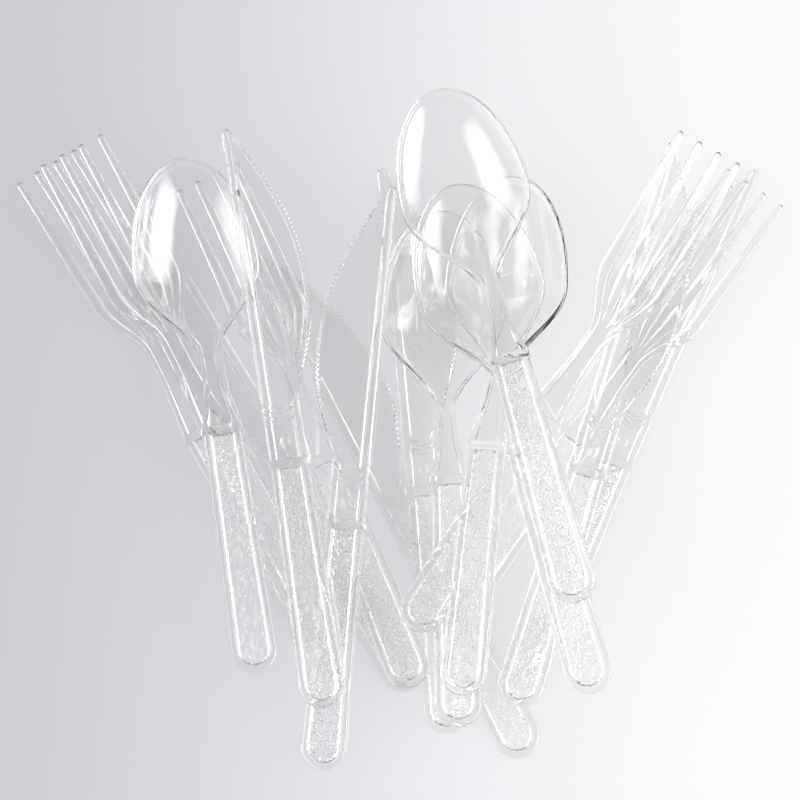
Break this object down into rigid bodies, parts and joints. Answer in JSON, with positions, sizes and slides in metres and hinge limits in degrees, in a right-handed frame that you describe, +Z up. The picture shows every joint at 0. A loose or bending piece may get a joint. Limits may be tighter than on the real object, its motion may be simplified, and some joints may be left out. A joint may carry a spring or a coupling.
{
  "type": "disposable cutlery set",
  "caption": "Clear plastic knives, forks and spoons lying in a loose fan, heads spread and handles crossing, for serving and eating.",
  "frame": {"origin": "on the surface that the set lies on, under the middle of the set's box", "axes": "+X across the fan to the right, +Y from the handles towards the heads, +Z up from the surface"},
  "size_m": [0.251, 0.2156, 0.0462],
  "materials": {
    "clear_polystyrene": "crystal clear, injection moulded, high gloss, with a pebbled panel on each handle"
  },
  "bodies": {
    "root": {"knife_1": "clear_polystyrene", "knife_2": "clear_polystyrene", "knife_3": "clear_polystyrene", "knife_4": "clear_polystyrene", "knife_5": "clear_polystyrene", "knife_6": "clear_polystyrene", "knife_7": "clear_polystyrene", "spoon_1": "clear_polystyrene", "spoon_2": "clear_polystyrene", "spoon_3": "clear_polystyrene", "spoon_4": "clear_polystyrene", "spoon_5": "clear_polystyrene", "fork_1": "clear_polystyrene", "fork_2": "clear_polystyrene", "fork_3": "clear_polystyrene", "fork_4": "clear_polystyrene", "fork_5": "clear_polystyrene"}
  },
  "joints": []
}
